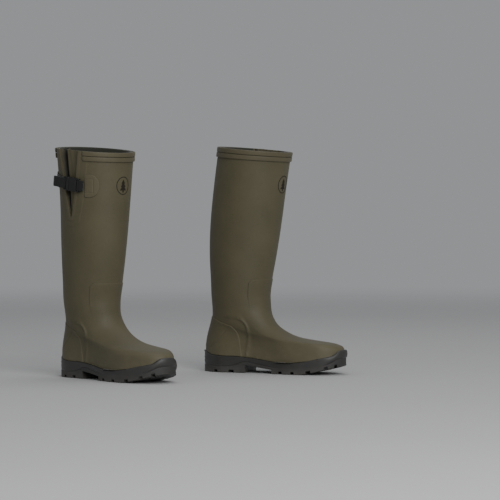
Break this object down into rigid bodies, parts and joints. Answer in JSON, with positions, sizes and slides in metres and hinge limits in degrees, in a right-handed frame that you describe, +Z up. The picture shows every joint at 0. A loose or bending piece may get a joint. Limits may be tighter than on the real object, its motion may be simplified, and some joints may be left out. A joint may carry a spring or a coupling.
{
  "type": "insulated hunting boots",
  "caption": "Pair of knee-high insulated rubber boots with a folding side gusset closed by a strap and side-release buckle, standing one step apart.",
  "frame": {"origin": "centre of the footprint of the pair's bounding box, on the ground", "axes": "+X the way the wearer walks, +Y towards the wearer's left boot, +Z up"},
  "size_m": [0.5768, 0.408, 0.4555],
  "materials": {
    "olive_rubber": "matte olive rubber, faint sheen",
    "olive_gusset": "thin flexible rubberised cloth",
    "sole_rubber": "dark grey moulded rubber, lightly textured",
    "neoprene": "foam neoprene faced with knit cloth",
    "midsole_foam": "closed-cell foam",
    "footbed_felt": "felt",
    "steel": "plain strip",
    "buckle_plastic": "satin acetal",
    "webbing": "woven nylon webbing",
    "badge_print": "flexible moulded mark"
  },
  "bodies": {
    "right_boot": {"right_badge": "badge_print", "right_buckle_socket": "buckle_plastic", "right_collar_band_lower": "olive_rubber", "right_collar_band_upper": "olive_rubber", "right_gusset": "olive_gusset", "right_gusset_welt": "olive_rubber", "right_heel_guard": "olive_rubber", "right_lining": "neoprene", "right_midsole": "midsole_foam", "right_outsole": "sole_rubber", "right_shank": "steel", "right_shin_guard": "olive_rubber", "right_strap_anchor_front": "olive_rubber", "right_strap_anchor_rear": "olive_rubber", "right_strap_long": "webbing", "right_strap_loop": "webbing", "right_upper_shell": "olive_rubber"},
    "right_clip": {"right_buckle_clip": "buckle_plastic"},
    "right_prong_upper": {"right_clip_prong_upper": "buckle_plastic"},
    "right_prong_lower": {"right_clip_prong_lower": "buckle_plastic"},
    "right_footbed": {"right_footbed": "footbed_felt"},
    "left_boot": {"left_badge": "badge_print", "left_buckle_socket": "buckle_plastic", "left_collar_band_lower": "olive_rubber", "left_collar_band_upper": "olive_rubber", "left_gusset": "olive_gusset", "left_gusset_welt": "olive_rubber", "left_heel_guard": "olive_rubber", "left_lining": "neoprene", "left_midsole": "midsole_foam", "left_outsole": "sole_rubber", "left_shank": "steel", "left_shin_guard": "olive_rubber", "left_strap_anchor_front": "olive_rubber", "left_strap_anchor_rear": "olive_rubber", "left_strap_long": "webbing", "left_strap_loop": "webbing", "left_upper_shell": "olive_rubber"},
    "left_clip": {"left_buckle_clip": "buckle_plastic"},
    "left_prong_upper": {"left_clip_prong_upper": "buckle_plastic"},
    "left_prong_lower": {"left_clip_prong_lower": "buckle_plastic"},
    "left_footbed": {"left_footbed": "footbed_felt"}
  },
  "joints": [
    {"name": "right_clip_slide", "type": "slide", "parent": "right_boot", "child": "right_clip", "axis": [-0.8248, 0.5435, 0.1559], "range_m": [0, 0.016], "deforming": ["right_strap_long"]},
    {"name": "right_prong_upper_squeeze", "type": "hinge", "parent": "right_clip", "child": "right_prong_upper", "pos_m": [-0.25577, -0.09662, 0.39268], "axis": [0.5592, 0.8248, 0.0833], "range_deg": [0, 10], "stiffness_Nm_per_rad": 0.4},
    {"name": "right_prong_lower_squeeze", "type": "hinge", "parent": "right_clip", "child": "right_prong_lower", "pos_m": [-0.25742, -0.09353, 0.37319], "axis": [-0.5592, -0.8248, -0.0833], "range_deg": [0, 10], "stiffness_Nm_per_rad": 0.4},
    {"name": "right_footbed_lift", "type": "hinge", "parent": "right_boot", "child": "right_footbed", "pos_m": [-0.07536, -0.17944, 0.03217], "axis": [0.7254, 0.6884, 0], "range_deg": [0, 8]},
    {"name": "left_boot_lift", "type": "slide", "parent": "right_boot", "child": "left_boot", "axis": [0, 0, 1], "range_m": [0, 0.3]},
    {"name": "left_clip_slide", "type": "slide", "parent": "left_boot", "child": "left_clip", "axis": [-0.8225, 0.547, 0.1557], "range_m": [0, 0.016], "deforming": ["left_strap_long"]},
    {"name": "left_prong_upper_squeeze", "type": "hinge", "parent": "left_clip", "child": "left_prong_upper", "pos_m": [0.13203, 0.18323, 0.3926], "axis": [0.5386, 0.8371, -0.0955], "range_deg": [0, 10], "stiffness_Nm_per_rad": 0.4},
    {"name": "left_prong_lower_squeeze", "type": "hinge", "parent": "left_clip", "child": "left_prong_lower", "pos_m": [0.12841, 0.18334, 0.37313], "axis": [-0.5386, -0.8371, 0.0955], "range_deg": [0, 10], "stiffness_Nm_per_rad": 0.4},
    {"name": "left_footbed_lift", "type": "hinge", "parent": "left_boot", "child": "left_footbed", "pos_m": [0.26651, 0.04777, 0.03217], "axis": [0.3827, 0.9239, 0], "range_deg": [0, 8]}
  ]
}
